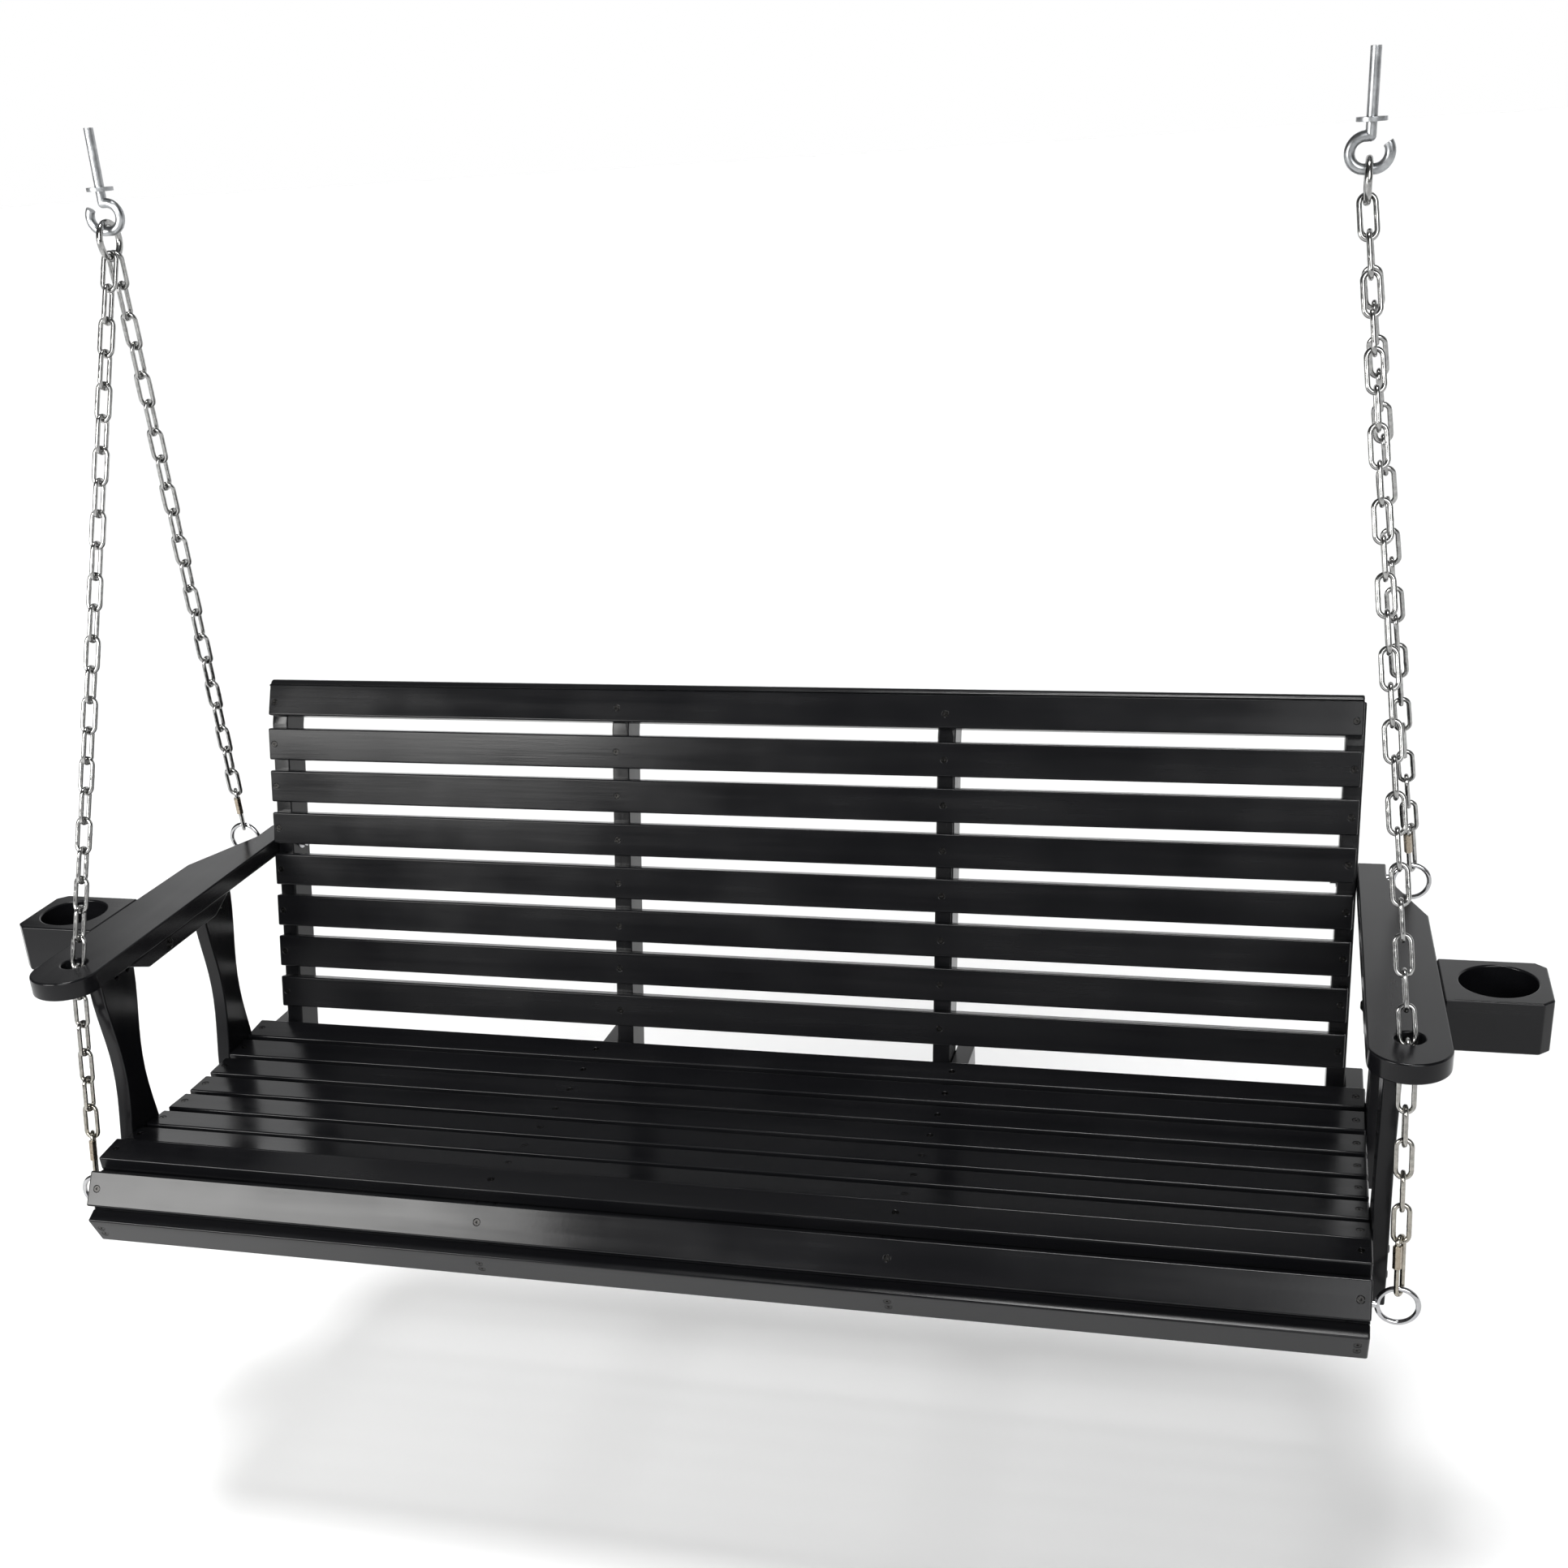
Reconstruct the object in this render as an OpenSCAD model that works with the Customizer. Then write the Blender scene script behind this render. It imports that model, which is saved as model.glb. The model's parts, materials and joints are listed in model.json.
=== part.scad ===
// Hanging porch swing with a slatted seat, a leaning slatted back and a cup holder beside each arm.
// All sizes are in millimetres. The origin is midway between the two ceiling hooks, on the line
// that the swing turns about. +X runs along the seat, +Y points to the back and +Z is up.

/* [Slats] */
// Length of each seat slat
seat_length = 1424; // [1380:2:1480]
// Length of each back slat
back_length = 1374; // [1330:2:1376]
// Width of a slat
slat_width = 41; // [38:0.5:43]
// Thickness of a slat
slat_thick = 17; // [14:0.5:18]
// Number of seat slats
seat_slats = 8; // [8]
// Distance between seat slat centres
seat_pitch = 50; // [50:0.5:51]
// Number of back slats
back_slats = 8; // [8]
// Distance between back slat centres along the back
back_pitch = 55; // [54:0.5:57]
// Width of the top back slat
crest_width = 48; // [46:0.5:50]

/* [Seat shape] */
// Height of the lowest point of the seat above the arm tops
seat_low = -235.5; // [-245:0.5:-230]
// How fast the seat rises to the front and the rear, per millimetre
seat_dish = 0.00036; // [0.0002:0.00002:0.0004]
// Tilt of the front seat slat
front_slat_tilt = 5; // [2:1:7]
// Tilt of the front board
front_board_tilt = 56.5; // [54:0.5:58]
// Tilt of the apron board under it
apron_tilt = 115.5; // [112:0.5:118]

/* [Back shape] */
// Lean of the back from upright
back_lean = 13.5; // [11:0.5:15]
// Lean of the top slat from upright
crest_lean = 26; // [22:0.5:28]
// Depth of a back upright, front to rear
upright_depth = 45; // [40:1:50]

/* [Frame boards] */
// Thickness of ribs, uprights and arms
board_thick = 22; // [20:1:24]
// Thickness of the arm posts and the rails under the arms
post_thick = 18; // [16:1:20]
// Thickness of the rails that stand between the ribs behind the front board
nose_rail_thick = 12; // [10:1:16]
// Distance from the middle to the joint of the inner ribs and uprights
inner_frame_x = 218; // [190:1:240]

/* [Arms] */
// Overall length of an arm
arm_length = 515; // [505:1:525]
// Width of an arm at its round front
arm_width = 80; // [76:1:84]
// Width of the narrow rear end of an arm
tail_width = 33; // [31:1:35]
// Diameter of the hole that the front chain passes through
chain_hole_d = 29; // [28:0.5:32]

/* [Cup holders] */
// Outside length of a cup holder, front to rear
cup_block_depth = 101; // [96:1:106]
// Distance from the middle to the outer side of a cup holder
cup_outer_x = 875; // [870:1:880]
// Height of a cup holder
cup_block_height = 57; // [52:1:60]
// Diameter of the cup well
cup_well_d = 77; // [74:1:79]
// Depth of the cup well
cup_well_depth = 47; // [42:1:47]

/* [Chains] */
// Diameter of the chain wire
wire_d = 5; // [4.8:0.1:5.2]
// Outside width of a chain link
link_width = 20; // [19.5:0.5:21]
// Nominal distance between link ends
chain_pitch = 34; // [33:0.5:36]
// Height of the hook line above the arm tops
arm_drop = 768; // [700:2:900]
// Distance from the middle to each ceiling hook
hook_x = 650; // [640:1:700]

/* [Hidden] */
$fn = 48;

PAINT = [0.07, 0.07, 0.08];
ZINC = [0.80, 0.79, 0.76];
STEEL = [0.55, 0.54, 0.52];
ACROSS = [0, 90, 0];

// Frame positions along X: each rib lies outside this line and its upright inside it.
inner_x = inner_frame_x;
outer_x = seat_length / 2 - board_thick;
frame_x = [inner_x, outer_x];
frame_signs = [-1, 1];

// Where the swing hangs under the hook line, so that it balances level.
bench_y = -39;

// Seat: row 0 is the rear slat and the last row is the front one.
seat_rear_y = 123;
seat_low_y = 5;
front_board_centre = [-276.6, -241.7];
apron_centre = [-282.4, -295];
function seat_y(row) = seat_rear_y - seat_pitch * row;
function seat_rise(y) = seat_low + seat_dish * pow(y - seat_low_y, 2);
function seat_tilt(row) = row == seat_slats - 1 ? front_slat_tilt
    : atan(2 * seat_dish * (seat_y(row) - seat_low_y));
function seat_row(row) = [seat_y(row), seat_rise(seat_y(row)), seat_tilt(row)];
front_board_row = [front_board_centre[0], front_board_centre[1], front_board_tilt];
apron_row = [apron_centre[0], apron_centre[1], apron_tilt];
seat_rows = [for (row = [0:seat_slats - 1]) seat_row(row)];
nose_rows = [front_board_row, apron_row];
function underside(row, edge) = [
    row[0] + edge * slat_width / 2 * cos(row[2]) + slat_thick * sin(row[2]),
    row[1] + edge * slat_width / 2 * sin(row[2]) - slat_thick * cos(row[2])];

// Back: row 0 is the lowest slat. The top slat leans back further than the others.
back_start = [165, -195];
function lean_dir(angle) = [sin(angle), cos(angle)];
back_bend = back_start + (back_slats - 1.5) * back_pitch * lean_dir(back_lean);
crest_centre = back_bend + back_pitch / 2 * lean_dir(crest_lean);
crest_low_side = 17;
crest_round = 9;
crest_step = 1.5;
crest_round_steps = 8;
function back_row(row) = row == back_slats - 1
    ? [crest_centre[0], crest_centre[1], 90 - crest_lean]
    : let (p = back_start + row * back_pitch * lean_dir(back_lean)) [p[0], p[1], 90 - back_lean];

// Lower edge and rear end of the ribs.
rib_bottom = -308;
rib_rear_y = 230;
rib_corner = 10;
rib_rear_top = seat_rows[0][1] - slat_thick;

// Arm posts: both have one outline, which narrows to a waist.
post_bottom = -308;
post_waist_z = -155;
post_wave = 250;
post_half = 27.5;
post_swell = 7.6;
post_lean = 0.045;
post_steps = 16;
front_post_y = -137;
rear_post_y = 95;
function post_half_at(z) = post_half - post_swell * cos(360 * max(-0.5, min(0.5,
    (z - post_waist_z) / post_wave)));
function post_mid_at(z) = post_lean * (z + board_thick);

// Arm outline, drawn for the right arm.
arm_rear_y = 275;
arm_round = arm_width / 2;
arm_front_x = outer_x + 3 + arm_round;
arm_round_y = arm_rear_y - arm_length + arm_round;
arm_kink_y = 123;
arm_tail_y = 232;
arm_kink_x = 764;
arm_outer_front_x = arm_front_x + arm_round;
function arm_outer_x(y) = arm_kink_x
    + (arm_outer_front_x - arm_kink_x) * (arm_kink_y - y) / (arm_kink_y - arm_round_y);
chain_hole = [733, -183];
arc_steps = 24;

// Rail under the arm, between the arm and the inner faces of the posts.
rail_height = 19;
rail_front_y = -140;
rail_rear_y = 100;
rail_clip = 42;

cup_rear_y = 9;
cup_corner = 11;
cup_centre = [824.5, cup_rear_y - cup_block_depth / 2];

// Fasteners.
screw_r = 2;
screw_hole_r = 2.1;
screw_head_r = 3.9;
screw_sink_r = 4.6;
screw_sink = 2.6;
screw_length = 36;
apron_screw_gap = 5.5;
bolt_r = 3;
bolt_hole_r = 3.1;
bolt_head_r = 7;
bolt_head_h = 3;
washer_r = 7.5;
washer_t = 1.2;
nut_r = 5.8;
nut_h = 5;
bolt_tip = 3;
post_bolt_z = [-262, -292];
upright_bolts = [[189, -262], [181, -292]];
post_screw_z = -38;
post_screw_offsets = [-3, 20];
post_screw_length = 34;
rail_screw_ys = [-75, 0, 80];
rail_screw_length = 33;
cup_bolt = [-50, -31];
cup_bolt_end_x = 783;

// Eye bolts: a ring welded to a threaded shank that runs along X.
ring_wire_r = 2.75;
ring_mid_r = 20;
eye_shank_r = 4;
eye_hole_r = 4.1;
eye_collar_r = 7;
eye_collar_t = 3;
eye_reach = 28;
front_eye = [-222, -281];
rear_eye = [250, -board_thick / 2];
eye_washer_r = 10;
eye_nut_r = 7.5;
eye_nut_h = 6.5;
eye_tip = 5;
front_eye_face_x = seat_length / 2;
eye_grip_rear = tail_width + board_thick;
rear_eye_face_x = outer_x + tail_width;

// Chains hang from a ring on the ceiling hook and end in quick links on the eye bolts.
gap = 0.3;
wire_r = wire_d / 2;
top_ring_wire_r = 3.5;
top_ring_inner_r = 15;
hook_wire_r = 5;
hook_bend_r = 14;
hook_flat = 8;
hook_opening = 55;
hook_shank_length = 58;
hook_collar_r = 14;
hook_collar_h = 4;
hook_neck = 16;
hook_clearance = 0.5;
top_ring_centre = [hook_x, 0, hook_wire_r + hook_clearance - top_ring_inner_r];
hole_point = [732, -181 + bench_y, -board_thick / 2 - arm_drop];
quick_inner_length = 56;
quick_mid_r = 6.5;
quick_twist = 28;
quick_gap = 1;
quick_mouth_half = 5;
sleeve_length = 24;
sleeve_bore_r = wire_r + 0.05;
sleeve_nut_r = 4.7;
sleeve_shift = 11;

function eye_centre(eye, face_x) = [face_x + eye_reach, eye[0] + bench_y, eye[1] - arm_drop];
front_ring = eye_centre(front_eye, front_eye_face_x);
rear_ring = eye_centre(rear_eye, rear_eye_face_x);
function unit(v) = v / norm(v);
function ring_seat(ring) = ring + [0, 0, ring_mid_r];
// Start of a chain run, on the wire of the eye bolt ring, and its direction up the chain.
function run_dir(ring, next) = unit(next - ring_seat(ring));
function run_start(ring, next) = ring_seat(ring) - ring_wire_r * run_dir(ring, next);
function quick_top(ring, next) = run_start(ring, next) + quick_inner_length * run_dir(ring, next);
function top_seat(from) = top_ring_centre
    + top_ring_inner_r * unit([0, from[1] - top_ring_centre[1], from[2] - top_ring_centre[2]]);
front_path = [quick_top(front_ring, hole_point), hole_point, top_seat(hole_point)];
rear_next = top_ring_centre;
rear_path = [quick_top(rear_ring, rear_next), top_seat(ring_seat(rear_ring))];
function path_length(path, i = 0) = i >= len(path) - 1 ? 0
    : norm(path[i + 1] - path[i]) + path_length(path, i + 1);
function path_point(path, s, i = 0) = let (step = norm(path[i + 1] - path[i]))
    s <= step || i == len(path) - 2 ? path[i] + s / step * (path[i + 1] - path[i])
    : path_point(path, s - step, i + 1);
// An odd number of links, so that the first and the last both lie flat to the front.
function link_count(path) = 2 * round((path_length(path) / chain_pitch - 1) / 2) + 1;

module on_side(side) {
    if (side < 0) mirror([1, 0, 0]) children();
    else children();
}

module bench() {
    translate([0, bench_y, -arm_drop]) children();
}

// Places children, drawn along Z about the origin, between two points.
module between(a, b, roll = 0) {
    d = unit(b - a);
    translate((a + b) / 2) rotate([atan2(-d[1], d[2]), 0, 0]) rotate([0, asin(d[0]), 0])
        rotate([0, 0, roll]) children();
}

// A board standing in the YZ plane, from x_low, with its outline in Y and Z.
module upright_board(x_low, thick, outline) {
    translate([x_low, 0, 0]) rotate([90, 0, 90]) linear_extrude(thick) polygon(outline);
}

// Puts children on a slat row: local Z is the slat's outer face normal, local Y runs up or back.
module on_row(row) {
    translate([0, row[0], row[1]]) rotate([row[2], 0, 0]) children();
}

module screw_hole() {
    translate([0, 0, -screw_length - 1]) cylinder(r = screw_hole_r, h = screw_length + 2);
    translate([0, 0, -screw_sink]) cylinder(r1 = screw_hole_r, r2 = screw_sink_r, h = screw_sink + 0.01);
}

module screw(length = screw_length) {
    translate([0, 0, -length]) cylinder(r = screw_r, h = length - screw_sink);
    translate([0, 0, -screw_sink]) difference() {
        cylinder(r1 = screw_r, r2 = screw_head_r, h = screw_sink - 0.4);
        translate([0, 0, 1]) cylinder(r = 1.3, h = screw_sink, $fn = 6);
    }
}

module at_screws(xs, offsets = [0]) {
    for (x = xs, side = frame_signs, y = offsets) translate([side * x, y, 0]) children();
}

seat_screw_x = [for (x = frame_x) x + board_thick / 2];
back_screw_x = [for (x = frame_x) x - board_thick / 2];

// A slat with square edges, or with children as its section across the length.
module slat(row, length, xs, offsets = [0]) {
    color(PAINT) bench() on_row(row) difference() {
        if ($children > 0) rotate([90, 0, 90]) translate([0, 0, -length / 2]) linear_extrude(length)
            children();
        else translate([-length / 2, -slat_width / 2, -slat_thick]) cube([length, slat_width, slat_thick]);
        at_screws(xs, offsets) screw_hole();
    }
}

// Section of the top back slat: a small step and a rounding along its upper front edge.
module crest_section() {
    high = crest_width - crest_low_side;
    round_r = crest_round - crest_step;
    polygon(concat(
        [[-crest_low_side, 0], [-crest_low_side, -slat_thick], [high, -slat_thick]],
        [for (i = [0:crest_round_steps]) let (a = 90 * i / crest_round_steps)
            [high - round_r + round_r * cos(a), -crest_round + round_r * sin(a)]],
        [[high - round_r, 0]]));
}

module seat_slat(number) {
    slat(seat_rows[seat_slats - number], seat_length, seat_screw_x);
}

module back_slat(number) {
    row = back_row(back_slats - number);
    if (number == 1) slat(row, back_length, back_screw_x) crest_section();
    else slat(row, back_length, back_screw_x);
}

module front_board() {
    slat(front_board_row, seat_length, seat_screw_x);
}

module apron_board() {
    slat(apron_row, seat_length, seat_screw_x, [-apron_screw_gap, apron_screw_gap]);
}

// A rail fits under the front slat and the front board and laps down behind the apron board.
function nose_rail_outline() = let (lap = 2 * nose_rail_thick / slat_width,
        front_slat = seat_rows[seat_slats - 1], low = underside(apron_row, 1 - lap))
    [underside(front_slat, -1 + lap), underside(front_slat, -1),
     underside(front_board_row, 1), underside(front_board_row, -1),
     underside(apron_row, 1), low, low + [nose_rail_thick, 0]];

module nose_rails() {
    between_x = inner_x + board_thick;
    color(PAINT) bench() {
        upright_board(-inner_x, 2 * inner_x, nose_rail_outline());
        for (side = frame_signs) on_side(side)
            upright_board(between_x, outer_x - between_x, nose_rail_outline());
    }
}

module seat_screw_holes(x) {
    for (row = concat(seat_rows, [front_board_row])) on_row(row) translate([x, 0, 0]) screw_hole();
    on_row(apron_row) for (y = [-apron_screw_gap, apron_screw_gap]) translate([x, y, 0]) screw_hole();
}

module bolt_hole(y, z) {
    translate([0, y, z]) rotate(ACROSS) cylinder(r = bolt_hole_r, h = 2 * cup_outer_x);
}

module post_bolt_holes() {
    for (y = [front_post_y, rear_post_y], z = post_bolt_z) bolt_hole(y + post_mid_at(z), z);
}

module upright_bolt_holes() {
    for (p = upright_bolts) bolt_hole(p[0], p[1]);
}

function rib_outline() = concat(
    [[rib_rear_y, rib_rear_top]],
    [for (row = concat(seat_rows, nose_rows), edge = [1, -1]) underside(row, edge)],
    [[underside(apron_row, -1)[0] + 2, rib_bottom],
     [rib_rear_y - rib_corner, rib_bottom], [rib_rear_y, rib_bottom + rib_corner]]);

module seat_rib(side, x_low, outer) {
    color(PAINT) bench() on_side(side) difference() {
        upright_board(x_low, board_thick, rib_outline());
        seat_screw_holes(x_low + board_thick / 2);
        upright_bolt_holes();
        if (outer) {
            post_bolt_holes();
            translate([0, front_eye[0], front_eye[1]]) rotate(ACROSS)
                cylinder(r = eye_hole_r, h = cup_outer_x);
        }
    }
}

// Front edge of an upright behind the slats, and the rear edge one board depth behind it.
function back_line(centre, lean, along, behind) = [
    centre[0] + along * sin(lean) + behind * cos(lean),
    centre[1] + along * cos(lean) - behind * sin(lean)];
bend_half = (crest_lean - back_lean) / 2;
bend_lean = back_lean + bend_half;
upright_foot = (rib_bottom - back_start[1]) / cos(back_lean);
crest_top = back_pitch / 2 + crest_width - crest_low_side - 6;
upright_rear = slat_thick + upright_depth;
function upright_outline() = [
    [back_start[0] + upright_foot * sin(back_lean) + slat_thick / cos(back_lean), rib_bottom],
    back_line(back_bend, bend_lean, 0, slat_thick / cos(bend_half)),
    back_line(back_bend, crest_lean, crest_top, slat_thick),
    back_line(back_bend, crest_lean, crest_top - 6, upright_rear),
    back_line(back_bend, bend_lean, 0, upright_rear / cos(bend_half)),
    [back_start[0] + upright_foot * sin(back_lean) + upright_rear / cos(back_lean), rib_bottom]];

module back_upright(side, x_high, outer) {
    color(PAINT) bench() on_side(side) difference() {
        upright_board(x_high - board_thick, board_thick, upright_outline());
        for (row = [0:back_slats - 1]) on_row(back_row(row))
            translate([x_high - board_thick / 2, 0, 0]) screw_hole();
        upright_bolt_holes();
        if (outer) translate([0, rear_eye[0], rear_eye[1]]) rotate(ACROSS)
            cylinder(r = eye_hole_r, h = cup_outer_x);
    }
}

function post_outline(y) = concat(
    [for (i = [0:post_steps]) let (z = -board_thick + (post_bottom + board_thick) * i / post_steps)
        [y + post_mid_at(z) - post_half_at(z), z]],
    [for (i = [0:post_steps]) let (z = post_bottom - (post_bottom + board_thick) * i / post_steps)
        [y + post_mid_at(z) + post_half_at(z), z]]);

// Slanted screws run from the inner face of a post up into the arm.
module at_post_screws(y) {
    for (offset = post_screw_offsets)
        translate([seat_length / 2, y + offset, post_screw_z]) rotate([0, -135, 0]) children();
}

module arm_post(side, y) {
    color(PAINT) bench() on_side(side) difference() {
        upright_board(seat_length / 2, post_thick, post_outline(y));
        post_bolt_holes();
        at_post_screws(y) screw_hole();
    }
}

function arm_outline() = concat(
    [[outer_x, arm_rear_y], [outer_x + 3, arm_round_y]],
    [for (i = [1:arc_steps]) let (a = 180 + 180 * i / arc_steps)
        [arm_front_x + arm_round * cos(a), arm_round_y + arm_round * sin(a)]],
    [[arm_kink_x, arm_kink_y], [outer_x + tail_width, arm_tail_y],
     [outer_x + tail_width, arm_rear_y]]);

module at_rail_screws() {
    for (y = rail_screw_ys) translate([seat_length / 2 - post_thick / 2, y, -board_thick - rail_height])
        rotate([180, 0, 0]) children();
}

module arm(side) {
    color(PAINT) bench() on_side(side) difference() {
        translate([0, 0, -board_thick]) linear_extrude(board_thick) polygon(arm_outline());
        translate([chain_hole[0], chain_hole[1], -board_thick - 1])
            cylinder(d = chain_hole_d, h = board_thick + 2);
        translate([0, rear_eye[0], rear_eye[1]]) rotate(ACROSS) cylinder(r = eye_hole_r, h = cup_outer_x);
        for (y = [front_post_y, rear_post_y]) at_post_screws(y) screw_hole();
        at_rail_screws() screw_hole();
    }
}

module arm_rail(side) {
    top = -board_thick;
    low = top - rail_height;
    color(PAINT) bench() on_side(side) difference() {
        upright_board(seat_length / 2 - post_thick, post_thick,
            [[rail_front_y, top], [rail_front_y + rail_clip, low],
             [rail_rear_y - rail_clip, low], [rail_rear_y, top]]);
        at_rail_screws() screw_hole();
        bolt_hole(cup_bolt[0], cup_bolt[1]);
    }
}

function cup_outline() = let (front = cup_rear_y - cup_block_depth) [
    [arm_outer_x(cup_rear_y), cup_rear_y], [arm_outer_x(front), front],
    [cup_outer_x - cup_corner, front], [cup_outer_x, front + cup_corner],
    [cup_outer_x, cup_rear_y - cup_corner], [cup_outer_x - cup_corner, cup_rear_y]];

module cup_holder(side) {
    color(PAINT) bench() on_side(side) difference() {
        translate([0, 0, -cup_block_height]) linear_extrude(cup_block_height) polygon(cup_outline());
        translate([cup_centre[0], cup_centre[1], -cup_well_depth])
            cylinder(d = cup_well_d, h = cup_well_depth + 1, $fn = 96);
        translate([0, cup_bolt[0], cup_bolt[1]]) rotate(ACROSS)
            cylinder(r = bolt_hole_r, h = cup_bolt_end_x + 0.1);
    }
}

module slat_screws() {
    color(STEEL) bench() {
        for (row = concat(seat_rows, [front_board_row])) on_row(row) at_screws(seat_screw_x) screw();
        on_row(apron_row) at_screws(seat_screw_x, [-apron_screw_gap, apron_screw_gap]) screw();
        for (row = [0:back_slats - 1]) on_row(back_row(row)) at_screws(back_screw_x) screw();
    }
}

module arm_screws() {
    color(STEEL) bench() for (side = frame_signs) on_side(side) {
        for (y = [front_post_y, rear_post_y]) at_post_screws(y) screw(post_screw_length);
        at_rail_screws() screw(rail_screw_length);
    }
}

// A round-headed bolt along X with its washer and nut. The head is on the outer face at x_high.
module frame_bolt(x_low, x_high, y, z) {
    reach = x_high - x_low + washer_t + nut_h + bolt_tip;
    translate([x_high - reach, y, z]) rotate(ACROSS) {
        cylinder(r = bolt_r, h = reach + 0.5);
        translate([0, 0, reach]) cylinder(r1 = bolt_head_r, r2 = bolt_head_r / 2, h = bolt_head_h);
        translate([0, 0, bolt_tip + nut_h]) cylinder(r = washer_r, h = washer_t);
        translate([0, 0, bolt_tip]) cylinder(r = nut_r, h = nut_h, $fn = 6);
    }
}

module frame_bolts() {
    color(STEEL) bench() for (side = frame_signs) on_side(side) {
        for (y = [front_post_y, rear_post_y], z = post_bolt_z)
            frame_bolt(outer_x, seat_length / 2 + post_thick, y + post_mid_at(z), z);
        for (x = frame_x, p = upright_bolts)
            frame_bolt(x - board_thick, x + board_thick, p[0], p[1]);
    }
}

module cup_holder_bolts() {
    rail_x = seat_length / 2 - post_thick;
    color(STEEL) bench() for (side = frame_signs) on_side(side)
        translate([rail_x, cup_bolt[0], cup_bolt[1]]) rotate(ACROSS) {
            cylinder(r = bolt_r, h = cup_bolt_end_x - rail_x);
            translate([0, 0, -bolt_head_h])
                cylinder(r1 = bolt_head_r / 2, r2 = bolt_head_r, h = bolt_head_h);
        }
}

// A ring in the XZ plane on a shank that points along -X, drawn from the board face at x = 0.
module eye_bolt(side, eye, face_x, grip) {
    color(ZINC) bench() on_side(side) translate([face_x, eye[0], eye[1]]) {
        translate([eye_reach, 0, 0]) rotate([90, 0, 0]) rotate_extrude()
            translate([ring_mid_r, 0]) circle(r = ring_wire_r, $fn = 32);
        rotate(ACROSS) {
            translate([0, 0, -grip - washer_t - eye_nut_h - eye_tip])
                cylinder(r = eye_shank_r, h = grip + washer_t + eye_nut_h + eye_tip + eye_reach - ring_mid_r);
            cylinder(r = eye_collar_r, h = eye_collar_t);
            translate([0, 0, -grip - washer_t]) cylinder(r = eye_washer_r, h = washer_t);
            translate([0, 0, -grip - washer_t - eye_nut_h]) cylinder(r = eye_nut_r, h = eye_nut_h, $fn = 6);
        }
    }
}

// A closed loop of round wire along Z: two legs and two round ends, centred on the origin.
module wire_loop(inner_length, mid_r, r, mouth_half = 0, mouth_z = 0) {
    half = inner_length / 2 + r - mid_r;
    for (end = [1, -1]) translate([0, 0, end * half]) rotate([90, end < 0 ? 180 : 0, 0])
        rotate_extrude(angle = 180) translate([mid_r, 0]) circle(r = r, $fn = 32);
    translate([mid_r, 0, -half]) cylinder(r = r, h = 2 * half, $fn = 32);
    if (mouth_half > 0) {
        translate([-mid_r, 0, -half]) cylinder(r = r, h = half + mouth_z - mouth_half, $fn = 32);
        translate([-mid_r, 0, mouth_z + mouth_half])
            cylinder(r = r, h = half - mouth_z - mouth_half, $fn = 32);
    }
    else translate([-mid_r, 0, -half]) cylinder(r = r, h = 2 * half, $fn = 32);
}

module chain(side, path) {
    count = link_count(path);
    pitch = path_length(path) / count;
    color(ZINC) on_side(side) for (i = [0:count - 1])
        between(path_point(path, i * pitch), path_point(path, (i + 1) * pitch), i % 2 * 90)
            wire_loop(pitch + gap, link_width / 2 - wire_r, wire_r);
}

module on_quick_link(side, ring, next) {
    on_side(side) between(run_start(ring, next), quick_top(ring, next), 90 - quick_twist) children();
}

module quick_link(side, ring, next) {
    color(ZINC) on_quick_link(side, ring, next)
        wire_loop(quick_inner_length + quick_gap, quick_mid_r, wire_r, quick_mouth_half, sleeve_shift);
}

module link_sleeve(side, ring, next) {
    color(STEEL) on_quick_link(side, ring, next) translate([-quick_mid_r, 0, sleeve_shift])
        difference() {
            cylinder(r = sleeve_nut_r, h = sleeve_length, center = true, $fn = 6);
            cylinder(r = sleeve_bore_r, h = sleeve_length + 2, center = true);
        }
}

module top_ring(side) {
    color(ZINC) on_side(side) translate(top_ring_centre) rotate(ACROSS) rotate_extrude()
        translate([top_ring_inner_r + top_ring_wire_r, 0]) circle(r = top_ring_wire_r, $fn = 32);
}

// One bend of a ceiling hook, from an angle, about a point half the flat away from the middle.
module hook_bend(side, from, angle) {
    translate([side * hook_flat / 2, 0, hook_bend_r]) rotate([90, 0, 0]) rotate([0, 0, from])
        rotate_extrude(angle = angle) translate([hook_bend_r, 0]) circle(r = hook_wire_r);
}

// An open hook whose straight lowest part carries the top ring, with a collar and a threaded shank.
module ceiling_hook() {
    neck_z = 2 * hook_bend_r;
    hook_bend(-1, 90, 180);
    hook_bend(1, 270, 180 - hook_opening);
    rotate(ACROSS) cylinder(r = hook_wire_r, h = hook_flat, center = true);
    translate([-hook_flat / 2, 0, neck_z]) rotate(ACROSS) cylinder(r = hook_wire_r, h = hook_flat / 2);
    translate([0, 0, neck_z]) sphere(r = hook_wire_r);
    translate([0, 0, neck_z]) cylinder(r = hook_wire_r, h = hook_neck + hook_shank_length);
    translate([0, 0, neck_z + hook_neck - hook_collar_h]) cylinder(r = hook_collar_r, h = hook_collar_h);
}

module ceiling_hooks() {
    color(ZINC) for (side = frame_signs) on_side(side) translate([hook_x, 0, 0]) ceiling_hook();
}

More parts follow.
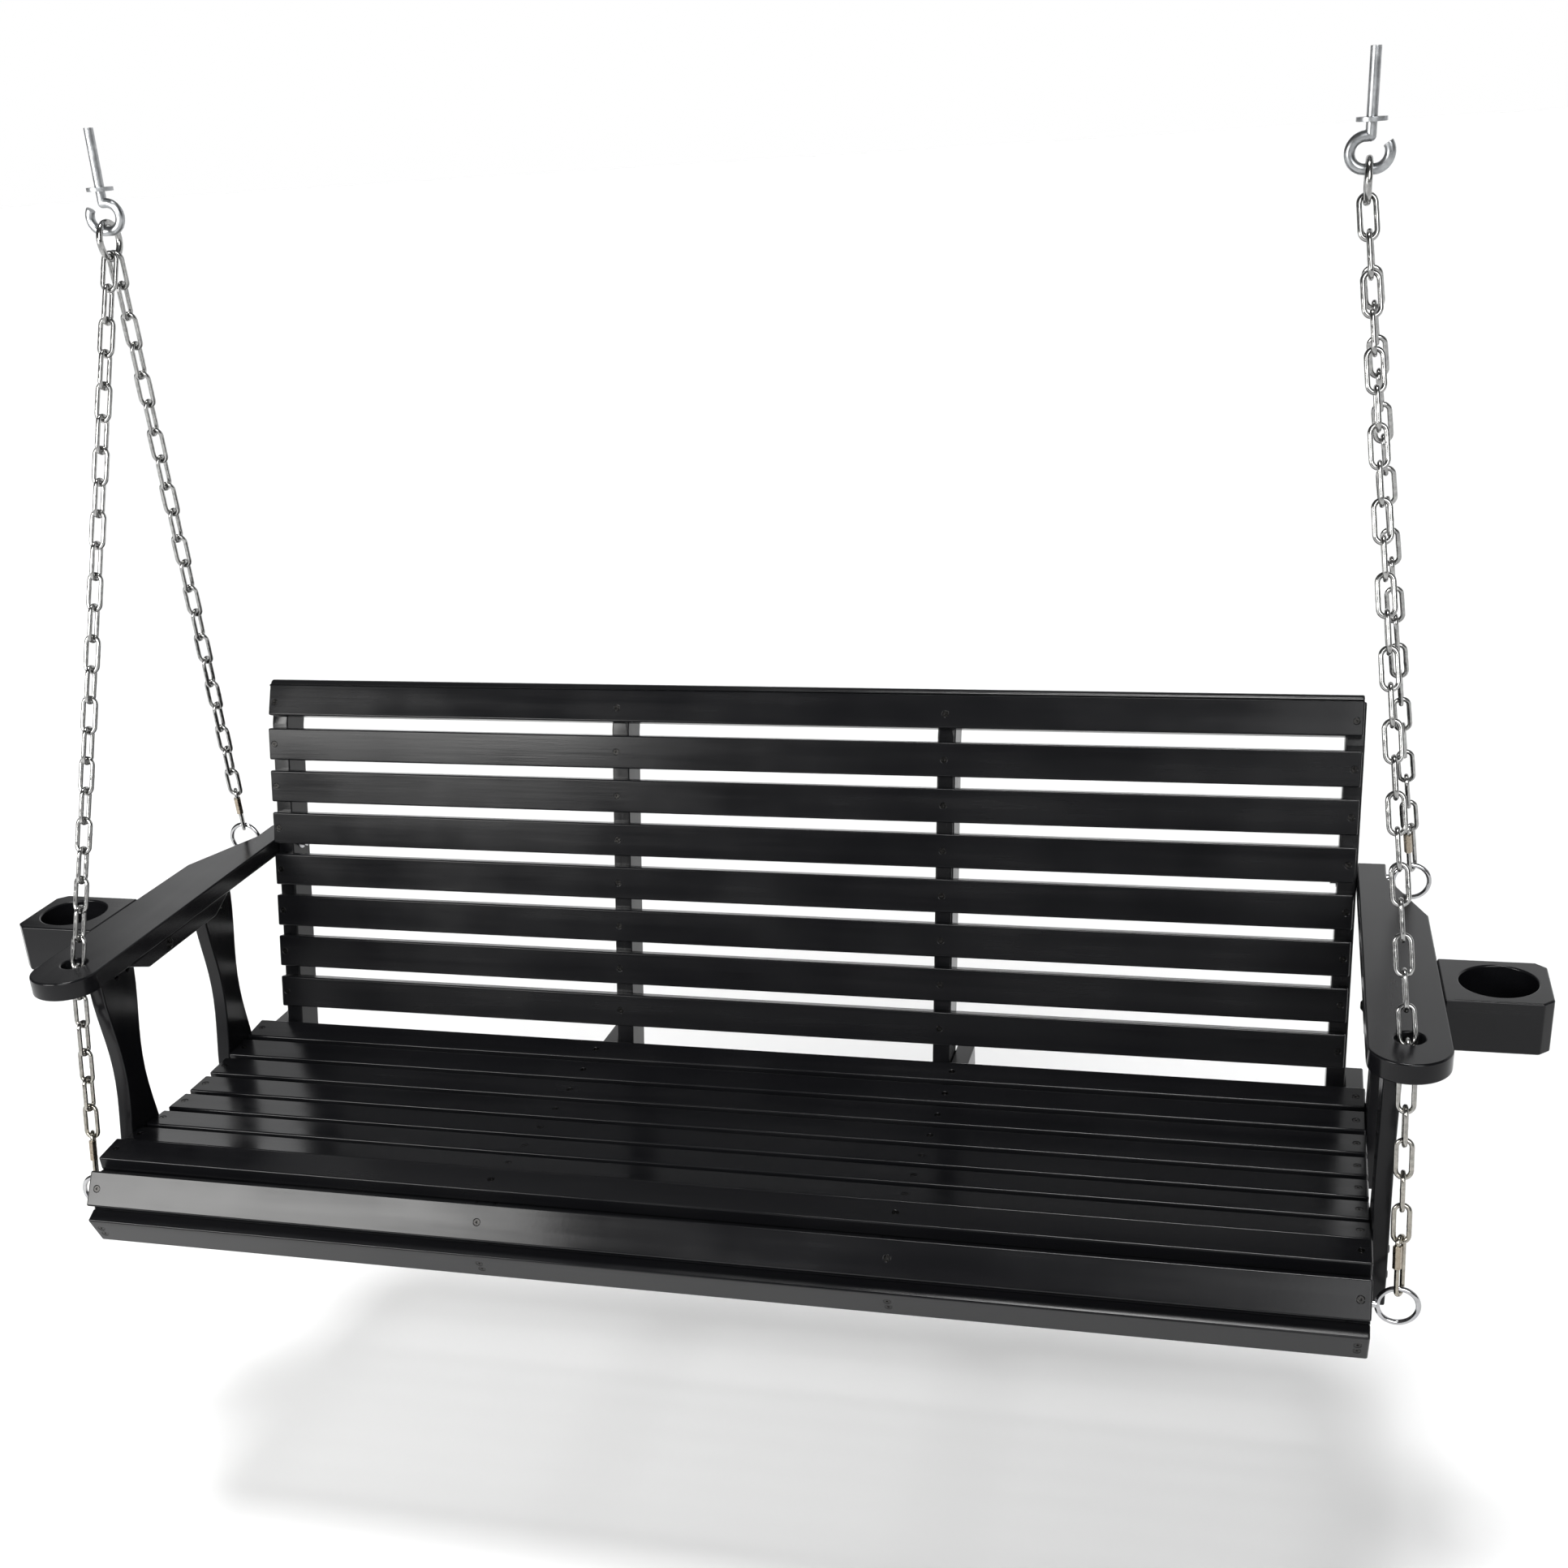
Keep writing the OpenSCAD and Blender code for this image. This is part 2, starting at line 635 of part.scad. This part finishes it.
ceiling_hooks();
top_ring(-1);  // top_ring_left
top_ring(1);  // top_ring_right
chain(-1, front_path);  // front_chain_left
chain(1, front_path);  // front_chain_right
chain(-1, rear_path);  // rear_chain_left
chain(1, rear_path);  // rear_chain_right
quick_link(-1, front_ring, hole_point);  // front_quick_link_left
quick_link(1, front_ring, hole_point);  // front_quick_link_right
quick_link(-1, rear_ring, rear_next);  // rear_quick_link_left
quick_link(1, rear_ring, rear_next);  // rear_quick_link_right
link_sleeve(-1, front_ring, hole_point);  // front_link_sleeve_left
link_sleeve(1, front_ring, hole_point);  // front_link_sleeve_right
link_sleeve(-1, rear_ring, rear_next);  // rear_link_sleeve_left
link_sleeve(1, rear_ring, rear_next);  // rear_link_sleeve_right
eye_bolt(-1, front_eye, front_eye_face_x, board_thick);  // front_eye_bolt_left
eye_bolt(1, front_eye, front_eye_face_x, board_thick);  // front_eye_bolt_right
eye_bolt(-1, rear_eye, rear_eye_face_x, eye_grip_rear);  // rear_eye_bolt_left
eye_bolt(1, rear_eye, rear_eye_face_x, eye_grip_rear);  // rear_eye_bolt_right
seat_slat(1);  // seat_slat_1
seat_slat(2);  // seat_slat_2
seat_slat(3);  // seat_slat_3
seat_slat(4);  // seat_slat_4
seat_slat(5);  // seat_slat_5
seat_slat(6);  // seat_slat_6
seat_slat(7);  // seat_slat_7
seat_slat(8);  // seat_slat_8
back_slat(1);  // back_slat_1
back_slat(2);  // back_slat_2
back_slat(3);  // back_slat_3
back_slat(4);  // back_slat_4
back_slat(5);  // back_slat_5
back_slat(6);  // back_slat_6
back_slat(7);  // back_slat_7
back_slat(8);  // back_slat_8
front_board();
apron_board();
nose_rails();
seat_rib(-1, outer_x, true);  // seat_rib_left
seat_rib(-1, inner_x, false);  // seat_rib_mid_left
seat_rib(1, inner_x, false);  // seat_rib_mid_right
seat_rib(1, outer_x, true);  // seat_rib_right
back_upright(-1, outer_x, true);  // back_upright_left
back_upright(-1, inner_x, false);  // back_upright_mid_left
back_upright(1, inner_x, false);  // back_upright_mid_right
back_upright(1, outer_x, true);  // back_upright_right
arm_post(-1, front_post_y);  // front_post_left
arm_post(1, front_post_y);  // front_post_right
arm_post(-1, rear_post_y);  // rear_post_left
arm_post(1, rear_post_y);  // rear_post_right
arm(-1);  // arm_left
arm(1);  // arm_right
arm_rail(-1);  // arm_rail_left
arm_rail(1);  // arm_rail_right
cup_holder(-1);  // cup_holder_left
cup_holder(1);  // cup_holder_right
slat_screws();
arm_screws();
frame_bolts();
cup_holder_bolts();
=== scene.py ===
"""Porch swing: the looks of a black painted hanging bench on bright steel chains."""
import json
import math
import random

import bmesh
import bpy
import numpy as np
from mathutils import Matrix, Vector

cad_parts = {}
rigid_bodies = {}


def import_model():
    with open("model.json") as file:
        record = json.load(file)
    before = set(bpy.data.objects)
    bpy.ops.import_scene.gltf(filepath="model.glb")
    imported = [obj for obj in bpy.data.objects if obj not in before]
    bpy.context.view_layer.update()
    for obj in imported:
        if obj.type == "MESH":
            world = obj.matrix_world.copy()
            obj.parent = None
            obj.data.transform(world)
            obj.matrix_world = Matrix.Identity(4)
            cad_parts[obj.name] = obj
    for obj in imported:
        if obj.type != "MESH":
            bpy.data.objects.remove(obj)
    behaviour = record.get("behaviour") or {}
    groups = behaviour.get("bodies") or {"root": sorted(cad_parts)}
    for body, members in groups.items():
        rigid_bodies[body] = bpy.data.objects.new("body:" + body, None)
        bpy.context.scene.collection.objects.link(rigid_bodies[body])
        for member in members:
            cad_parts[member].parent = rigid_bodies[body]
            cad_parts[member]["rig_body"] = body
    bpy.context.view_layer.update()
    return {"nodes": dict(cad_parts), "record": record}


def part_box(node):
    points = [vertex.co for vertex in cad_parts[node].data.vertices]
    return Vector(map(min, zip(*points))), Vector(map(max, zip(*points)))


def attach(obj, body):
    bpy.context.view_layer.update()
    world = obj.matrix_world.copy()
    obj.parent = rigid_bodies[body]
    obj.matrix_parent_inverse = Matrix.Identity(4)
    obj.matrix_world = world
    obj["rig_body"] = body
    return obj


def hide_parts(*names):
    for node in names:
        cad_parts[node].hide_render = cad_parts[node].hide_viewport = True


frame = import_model()

NODES = frame["nodes"]
BODY_OF = {n: o["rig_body"] for n, o in NODES.items()}
SLOT_OF = {p["node"]: p["material_slot"] for p in frame["record"]["subparts"]}
MM = 0.001
BOARD_EDGE = 2.1 * MM
METAL_EDGE = 0.35 * MM
CHAIN_WIRE = 2.5 * MM
FLOOR_DROP = 0.42
OVERHEAD_LIGHT, SOFTBOX_LIGHT = 2.15, 20.0
AMBIENT_LIGHT, FRONT_LIGHT, WALL_LIGHT, WINDOW_LIGHT = 0.05, 0.06, 1.0, 8.0
METAL_OF = {"zinc_chain": "chain", "chrome_ring": "ring", "sleeve_steel": "sleeve",
            "galvanised_hook": "hook", "fastener_steel": "fastener"}


# ---------------------------------------------------------------- camera
def make_camera():
    data = bpy.data.cameras.new("camera")
    data.lens = 44.364
    data.sensor_width = 36.0
    data.shift_x = -0.0041
    data.shift_y = 0.1211
    data.clip_end = 50.0
    data.dof.use_dof = False
    cam = bpy.data.objects.new("camera", data)
    cam.location = (0.6056, -1.9728, 0.0956)
    cam.rotation_euler = [math.radians(a) for a in (65.419, 3.295, 14.037)]
    bpy.context.scene.collection.objects.link(cam)
    bpy.context.scene.camera = cam


# ---------------------------------------------------------------- materials
class Tree:
    """A small helper that adds nodes to a material or a world and links them."""

    def __init__(self, owner):
        owner.use_nodes = True
        self.owner = owner
        self.nodes = owner.node_tree.nodes
        self.links = owner.node_tree.links
        self.shader = self.nodes.get("Principled BSDF")

    def add(self, kind, **inputs):
        node = self.nodes.new(kind)
        for key, value in inputs.items():
            node.inputs[key].default_value = value
        return node

    def link(self, a, b):
        self.links.new(a, b)

    def coords(self, scale, offset=(0, 0, 0)):
        source = self.nodes.new("ShaderNodeTexCoord")
        mapping = self.nodes.new("ShaderNodeMapping")
        mapping.inputs["Scale"].default_value = scale
        mapping.inputs["Location"].default_value = offset
        self.link(source.outputs["Object"], mapping.inputs["Vector"])
        return mapping.outputs["Vector"]

    def noise(self, vector, scale, detail=4.0, rough=0.55):
        node = self.add("ShaderNodeTexNoise", Scale=scale, Detail=detail, Roughness=rough)
        self.link(vector, node.inputs["Vector"])
        return node.outputs["Fac"]

    def ramp(self, fac, stops):
        node = self.nodes.new("ShaderNodeValToRGB")
        ramp = node.color_ramp
        while len(ramp.elements) < len(stops):
            ramp.elements.new(0.5)
        for element, (at, colour) in zip(ramp.elements, stops):
            element.position = at
            element.color = (*colour, 1)
        self.link(fac, node.inputs["Fac"])
        return node.outputs["Color"]

    def remap(self, fac, low, high, from_low=0.0, from_high=1.0):
        node = self.nodes.new("ShaderNodeMapRange")
        ends = {"From Min": from_low, "From Max": from_high, "To Min": low, "To Max": high}
        for key, value in ends.items():
            node.inputs[key].default_value = value
        self.link(fac, node.inputs["Value"])
        return node.outputs["Result"]

    def math(self, kind, *values):
        node = self.nodes.new("ShaderNodeMath")
        node.operation = kind
        for socket, value in zip(node.inputs, values):
            if isinstance(value, (int, float)):
                socket.default_value = value
            else:
                self.link(value, socket)
        return node.outputs[0]

    def between(self, value, low, high, soft):
        """1 where value is between low and high, with soft borders."""
        sides = []
        for start, end in ((low - soft, low + soft), (high + soft, high - soft)):
            side = self.add("ShaderNodeMapRange", **{"From Min": start, "From Max": end})
            side.interpolation_type = "SMOOTHSTEP"
            self.link(value, side.inputs["Value"])
            sides.append(side.outputs["Result"])
        return self.math("MULTIPLY", *sides)

    def bump(self, height, strength, distance, after=None):
        node = self.add("ShaderNodeBump", Strength=strength, Distance=distance)
        self.link(height, node.inputs["Height"])
        if after is not None:
            self.link(after, node.inputs["Normal"])
        return node.outputs["Normal"]


def painted_wood(name, axis, offset):
    """Black satin paint over sanded softwood whose grain runs along one axis."""
    t = Tree(bpy.data.materials.new(name))
    along = [34.0, 34.0, 34.0]
    along[axis] = 1.6
    fine = [420.0, 420.0, 420.0]
    fine[axis] = 9.0
    grain = t.noise(t.coords(along, offset), 1.0, 6.0, 0.6)
    pores = t.noise(t.coords(fine, offset), 1.0, 3.0, 0.6)
    cloud = t.noise(t.coords((7, 7, 7), offset), 1.0, 3.0, 0.5)
    peel = t.noise(t.coords((260, 260, 260), offset), 1.0, 2.0, 0.5)
    tone = t.math("ADD", t.math("MULTIPLY", grain, 0.65), t.math("MULTIPLY", cloud, 0.35))
    colour = t.ramp(tone, [(0.30, (0.0030, 0.0031, 0.0037)), (0.52, (0.0046, 0.0047, 0.0054)),
                           (0.75, (0.0078, 0.0078, 0.0084))])
    t.link(colour, t.shader.inputs["Base Color"])
    rough = t.math("ADD", t.remap(grain, 0.15, 0.24, 0.3, 0.7), t.remap(cloud, -0.03, 0.05, 0.35, 0.65))
    t.link(rough, t.shader.inputs["Roughness"])
    t.shader.inputs["Specular IOR Level"].default_value = 0.21
    first = t.bump(grain, 0.10, 0.0008)
    second = t.bump(pores, 0.06, 0.0004, first)
    t.link(t.bump(peel, 0.06, 0.0003, second), t.shader.inputs["Normal"])
    return t.owner


def plated_steel(name, dark, light, rough_low, rough_high, spangle, warm=None):
    """Plated steel with faint clouding, polishing marks and, where asked, a warm tint below a height."""
    t = Tree(bpy.data.materials.new(name))
    cloud = t.noise(t.coords((spangle,) * 3), 1.0, 4.0, 0.6)
    fine = t.noise(t.coords((1400, 1400, 1400)), 1.0, 3.0, 0.6)
    colour = t.ramp(cloud, [(0.3, dark), (0.7, light)])
    if warm:
        warm_z, cool_z, tint = warm
        position = t.nodes.new("ShaderNodeSeparateXYZ")
        source = t.nodes.new("ShaderNodeTexCoord")
        t.link(source.outputs["Object"], position.inputs["Vector"])
        mix = t.nodes.new("ShaderNodeMix")
        mix.data_type = "RGBA"
        mix.blend_type = "MULTIPLY"
        t.link(t.remap(position.outputs["Z"], 1.0, 0.0, warm_z, cool_z), mix.inputs["Factor"])
        t.link(colour, mix.inputs["A"])
        mix.inputs["B"].default_value = (*tint, 1)
        colour = mix.outputs["Result"]
    t.link(colour, t.shader.inputs["Base Color"])
    t.shader.inputs["Metallic"].default_value = 1.0
    t.link(t.remap(cloud, rough_low, rough_high, 0.3, 0.7), t.shader.inputs["Roughness"])
    t.link(t.bump(fine, 0.10, 0.0002, t.bump(cloud, 0.10, 0.0004)), t.shader.inputs["Normal"])
    return t.owner


def make_materials():
    offsets = {"x": (0.3, 0.1, 0.7), "y": (2.1, 0.4, 0.2), "z": (0.8, 3.2, 1.4)}
    mats = {"paint_" + a: painted_wood("painted_wood_" + a, i, offsets[a]) for i, a in enumerate("xyz")}
    mats["chain"] = plated_steel("zinc_chain", (0.22, 0.22, 0.22), (0.44, 0.44, 0.43), 0.12, 0.26, 220.0,
                                 warm=(-1.02, -0.76, (1.0, 0.93, 0.80)))
    mats["ring"] = plated_steel("chrome_ring", (0.34, 0.34, 0.35), (0.50, 0.50, 0.51), 0.06, 0.14, 120.0)
    mats["sleeve"] = plated_steel("sleeve_steel", (0.26, 0.22, 0.17), (0.40, 0.35, 0.28), 0.22, 0.36, 300.0)
    mats["hook"] = plated_steel("galvanised_hook", (0.26, 0.27, 0.28), (0.42, 0.43, 0.44), 0.26, 0.42, 90.0)
    mats["fastener"] = plated_steel("fastener_steel", (0.010, 0.010, 0.010), (0.030, 0.029, 0.028),
                                    0.20, 0.34, 500.0)
    return mats


# ---------------------------------------------------------------- meshes from the frame
def paint_for(node):
    low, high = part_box(node)
    size = high - low
    if "rib" in node:
        return "paint_y"
    return "paint_" + "xyz"[max(range(3), key=lambda i: size[i])]


def clean_bmesh(node):
    """A copy of a CAD node's mesh with its flat faces whole again."""
    bm = bmesh.new()
    bm.from_mesh(NODES[node].data)
    bmesh.ops.remove_doubles(bm, verts=bm.verts, dist=2e-6)
    bmesh.ops.dissolve_limit(bm, angle_limit=math.radians(0.6), verts=bm.verts, edges=bm.edges,
                             delimit={"NORMAL"})
    return bm


def edge_groups(bm, limit):
    """Sharp edges gathered into connected groups, each with the length of its box's diagonal."""
    sharp = {e for e in bm.edges if len(e.link_faces) == 2 and e.calc_face_angle(0) > limit}
    groups = []
    while sharp:
        stack, group = [sharp.pop()], []
        while stack:
            edge = stack.pop()
            group.append(edge)
            for v in edge.verts:
                for other in v.link_edges:
                    if other in sharp:
                        sharp.remove(other)
                        stack.append(other)
        points = np.array([v.co for e in group for v in e.verts])
        groups.append((group, float(np.linalg.norm(points.max(0) - points.min(0)))))
    return groups


def finish_piece(bm, node, material, smooth_angle=32.0, weighted=True):
    """Turns the mesh into a piece that stands for a CAD node, on its body and with its slot."""
    name = node + "_piece"
    mesh = bpy.data.meshes.new(name)
    bm.to_mesh(mesh)
    bm.free()
    mesh.materials.append(material)
    for polygon in mesh.polygons:
        polygon.use_smooth = True
    mesh.set_sharp_from_angle(angle=math.radians(smooth_angle))
    piece = bpy.data.objects.new(name, mesh)
    bpy.context.scene.collection.objects.link(piece)
    if weighted:
        modifier = piece.modifiers.new("weighted", "WEIGHTED_NORMAL")
        modifier.keep_sharp = True
        modifier.weight = 80
    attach(piece, BODY_OF[node])
    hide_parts(node)


def refine(node, material, width, min_group=0.025, segments=3, angle=28.0):
    """Rounds the edges of a CAD node by a small radius, apart from edge groups smaller than min_group."""
    bm = clean_bmesh(node)
    edges = [e for group, size in edge_groups(bm, math.radians(angle)) if size > min_group for e in group]
    if edges:
        bmesh.ops.bevel(bm, geom=edges, offset=width, offset_type="OFFSET", segments=segments, profile=0.5,
                        affect="EDGES", clamp_overlap=False, miter_outer="ARC")
    finish_piece(bm, node, material)


# ---------------------------------------------------------------- chains
def loose_parts(node):
    """The vertex positions of each separate solid of a CAD node."""
    bm = bmesh.new()
    bm.from_mesh(NODES[node].data)
    bmesh.ops.remove_doubles(bm, verts=bm.verts, dist=2e-6)
    seen, parts = set(), []
    for start in bm.verts:
        if start.index in seen:
            continue
        stack, found = [start], []
        seen.add(start.index)
        while stack:
            v = stack.pop()
            found.append(tuple(v.co))
            for e in v.link_edges:
                other = e.other_vert(v)
                if other.index not in seen:
                    seen.add(other.index)
                    stack.append(other)
        parts.append(np.array(found))
    bm.free()
    return parts


def part_frame(points):
    """Centre, long, cross and normal axes, and half length and width of a flat loop of wire."""
    centre = (points.max(0) + points.min(0)) / 2
    for _ in range(3):
        values, vectors = np.linalg.eigh(np.cov((points - centre).T))
        long_axis, cross = vectors[:, 2], vectors[:, 1]
        a, b = (points - centre) @ long_axis, (points - centre) @ cross
        centre = centre + long_axis * (a.max() + a.min()) / 2 + cross * (b.max() + b.min()) / 2
    if long_axis[2] < 0:
        long_axis = -long_axis
    axes = [Vector(axis) for axis in (long_axis, cross, np.cross(long_axis, cross))]
    return Vector(centre), *axes, (a.max() - a.min()) / 2, (b.max() - b.min()) / 2


def loop_path(half_long, half_wide, count_bend, count_leg):
    """Points round a closed loop with two straight legs and two round ends."""
    radius, straight = half_wide, half_long - half_wide
    points = []
    for sign in (1, -1):
        for i in range(count_leg):
            s = -1 + 2 * i / count_leg
            points.append((sign * radius, sign * s * straight))
        for i in range(count_bend):
            a = math.pi * i / count_bend + (0 if sign > 0 else math.pi)
            points.append((radius * math.cos(a), sign * straight + radius * math.sin(a)))
    return points


def add_loop(bm, origin, axes, path, radius_at, sides=14):
    """Sweeps a round wire along a closed path in the plane of the first two axes."""
    wide, long_axis, normal = axes
    count = len(path)
    rings = []
    for i, (u, v) in enumerate(path):
        before, after = path[i - 1], path[(i + 1) % count]
        du, dv = after[0] - before[0], after[1] - before[1]
        length = math.hypot(du, dv)
        out = wide * (dv / length) - long_axis * (du / length)
        centre = origin + wide * u + long_axis * v
        r = radius_at(u, v)
        rings.append([bm.verts.new(centre + out * (r * math.cos(b)) + normal * (r * math.sin(b)))
                      for b in (2 * math.pi * k / sides for k in range(sides))])
    for i in range(count):
        a, b = rings[i], rings[(i + 1) % count]
        for k in range(sides):
            bm.faces.new((a[k], b[k], b[(k + 1) % sides], a[(k + 1) % sides]))


def make_chain(node, material, wire_r, seed):
    """Each link is a welded loop of drawn wire, a little turned in its neighbours, at its CAD place."""
    rng = random.Random(seed)
    bm = bmesh.new()
    links = sorted((part_frame(p) for p in loose_parts(node)), key=lambda f: f[0].z)
    for centre, long_axis, cross, normal, half_long, half_wide in links:
        turn = Matrix.Rotation(math.radians(rng.uniform(-5, 5)), 3, long_axis)
        flip = rng.choice((-1, 1))
        wide = turn @ cross * flip
        path = loop_path(half_long - wire_r, half_wide - wire_r, 14, 10)
        weld = rng.uniform(-0.15, 0.15) * half_long
        swell = rng.uniform(0.05, 0.09) * wire_r

        def radius_at(u, v):
            if u > (half_wide - wire_r) * 0.98:
                return wire_r + swell * math.exp(-(((v - weld) / 0.0016) ** 2))
            return wire_r * 0.997

        add_loop(bm, centre, (wide, long_axis, (turn @ normal) * flip), path, radius_at)
    bmesh.ops.recalc_face_normals(bm, faces=bm.faces)
    finish_piece(bm, node, material, 60.0, False)


# ---------------------------------------------------------------- stage and light
def make_stage():
    seat_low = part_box("seat_rib_left")[0].z
    floor_z = seat_low - FLOOR_DROP
    bm = bmesh.new()
    corners = [(-60, -20), (60, -20), (60, 120), (-60, 120)]
    bm.faces.new([bm.verts.new((x, y, floor_z)) for x, y in corners])
    mesh = bpy.data.meshes.new("floor")
    bm.to_mesh(mesh)
    bm.free()
    t = Tree(bpy.data.materials.new("floor"))
    tone = t.noise(t.coords((1.5, 1.5, 1.5)), 1.0, 2.0, 0.5)
    colour = t.ramp(tone, [(0.3, (0.90, 0.90, 0.90)), (0.7, (0.92, 0.92, 0.92))])
    t.link(colour, t.shader.inputs["Base Color"])
    t.shader.inputs["Roughness"].default_value = 0.9
    t.shader.inputs["Specular IOR Level"].default_value = 0.1
    mesh.materials.append(t.owner)
    floor = bpy.data.objects.new("floor", mesh)
    bpy.context.scene.collection.objects.link(floor)


def softbox(name, place, target, size, radiance, colour):
    data = bpy.data.lights.new(name, "AREA")
    data.shape = "RECTANGLE"
    data.size, data.size_y = size
    data.energy = radiance * math.pi * size[0] * size[1]
    data.color = colour
    light = bpy.data.objects.new(name, data)
    light.location = place
    light.rotation_euler = (Vector(target) - Vector(place)).to_track_quat("-Z", "Y").to_euler()
    light.visible_camera = False
    bpy.context.scene.collection.objects.link(light)


def sun_light(name, direction, strength, angle):
    data = bpy.data.lights.new(name, "SUN")
    data.energy = strength
    data.angle = math.radians(angle)
    light = bpy.data.objects.new(name, data)
    light.rotation_euler = Vector(direction).to_track_quat("-Z", "Y").to_euler()
    bpy.context.scene.collection.objects.link(light)


def make_world():
    """A studio with a pale wall behind and a window at the front right, and plain white to the camera."""
    world = bpy.data.worlds.new("studio")
    bpy.context.scene.world = world
    t = Tree(world)
    source = t.add("ShaderNodeTexCoord")
    direction = t.add("ShaderNodeSeparateXYZ")
    t.link(source.outputs["Generated"], direction.inputs["Vector"])
    x, y, z = direction.outputs
    ground = t.math("SQRT", t.math("ADD", t.math("MULTIPLY", x, x), t.math("MULTIPLY", y, y)))
    rise = t.math("DIVIDE", z, t.math("MAXIMUM", ground, 0.02))
    turn = t.math("DIVIDE", x, t.math("MAXIMUM", t.math("ABSOLUTE", y), 0.02))

    front = t.between(y, -2.0, -0.04, 0.04)
    light = t.math("ADD", AMBIENT_LIGHT, t.math("MULTIPLY", front, FRONT_LIGHT))
    wall = t.math("MULTIPLY", t.between(y, 0.22, 2.0, 0.18), t.between(rise, -1.0, 0.75, 0.25))
    wall = t.math("MULTIPLY", wall, t.between(turn, -0.74, 9.0, 0.06))
    light = t.math("ADD", light, t.math("MULTIPLY", wall, WALL_LIGHT))
    window = t.math("MULTIPLY", t.between(turn, 0.06, 0.7, 0.08), t.between(rise, 0.2, 0.9, 0.1))
    window = t.math("MULTIPLY", window, front)
    light = t.math("ADD", light, t.math("MULTIPLY", window, WINDOW_LIGHT))

    studio = t.nodes["Background"]
    studio.inputs["Color"].default_value = (0.99, 0.995, 1.0, 1)
    t.link(light, studio.inputs["Strength"])
    backdrop = t.add("ShaderNodeBackground", Color=(1, 1, 1, 1), Strength=1.0)
    path = t.add("ShaderNodeLightPath")
    mix = t.add("ShaderNodeMixShader")
    t.link(path.outputs["Is Camera Ray"], mix.inputs["Fac"])
    t.link(studio.outputs["Background"], mix.inputs[1])
    t.link(backdrop.outputs["Background"], mix.inputs[2])
    t.link(mix.outputs["Shader"], t.nodes["World Output"].inputs["Surface"])


def make_light():
    """A lamp overhead, a softbox at the front left and the light of the studio around them."""
    sun_light("overhead", (0.04, 0.06, -1.0), OVERHEAD_LIGHT, 16)
    low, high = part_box("front_board")
    place = Vector((low.x - 1.1, low.y - 1.9, high.z + 1.20))
    target = place + Vector((0.35, 1.0, 0.0))
    softbox("front_left", place, target, (1.35, 0.85), SOFTBOX_LIGHT, (1.0, 0.995, 0.98))
    make_world()
    bpy.context.scene.view_settings.view_transform = "Standard"


# ---------------------------------------------------------------- the object
make_camera()
MATS = make_materials()
for name, slot in SLOT_OF.items():
    if slot == "painted_wood":
        refine(name, MATS[paint_for(name)], BOARD_EDGE)
    elif slot == "zinc_chain" and "chain" in name:
        make_chain(name, MATS["chain"], CHAIN_WIRE, sum(map(ord, name)))
    else:
        refine(name, MATS[METAL_OF[slot]], METAL_EDGE, 0.0, 2, 40.0)
make_stage()
make_light()
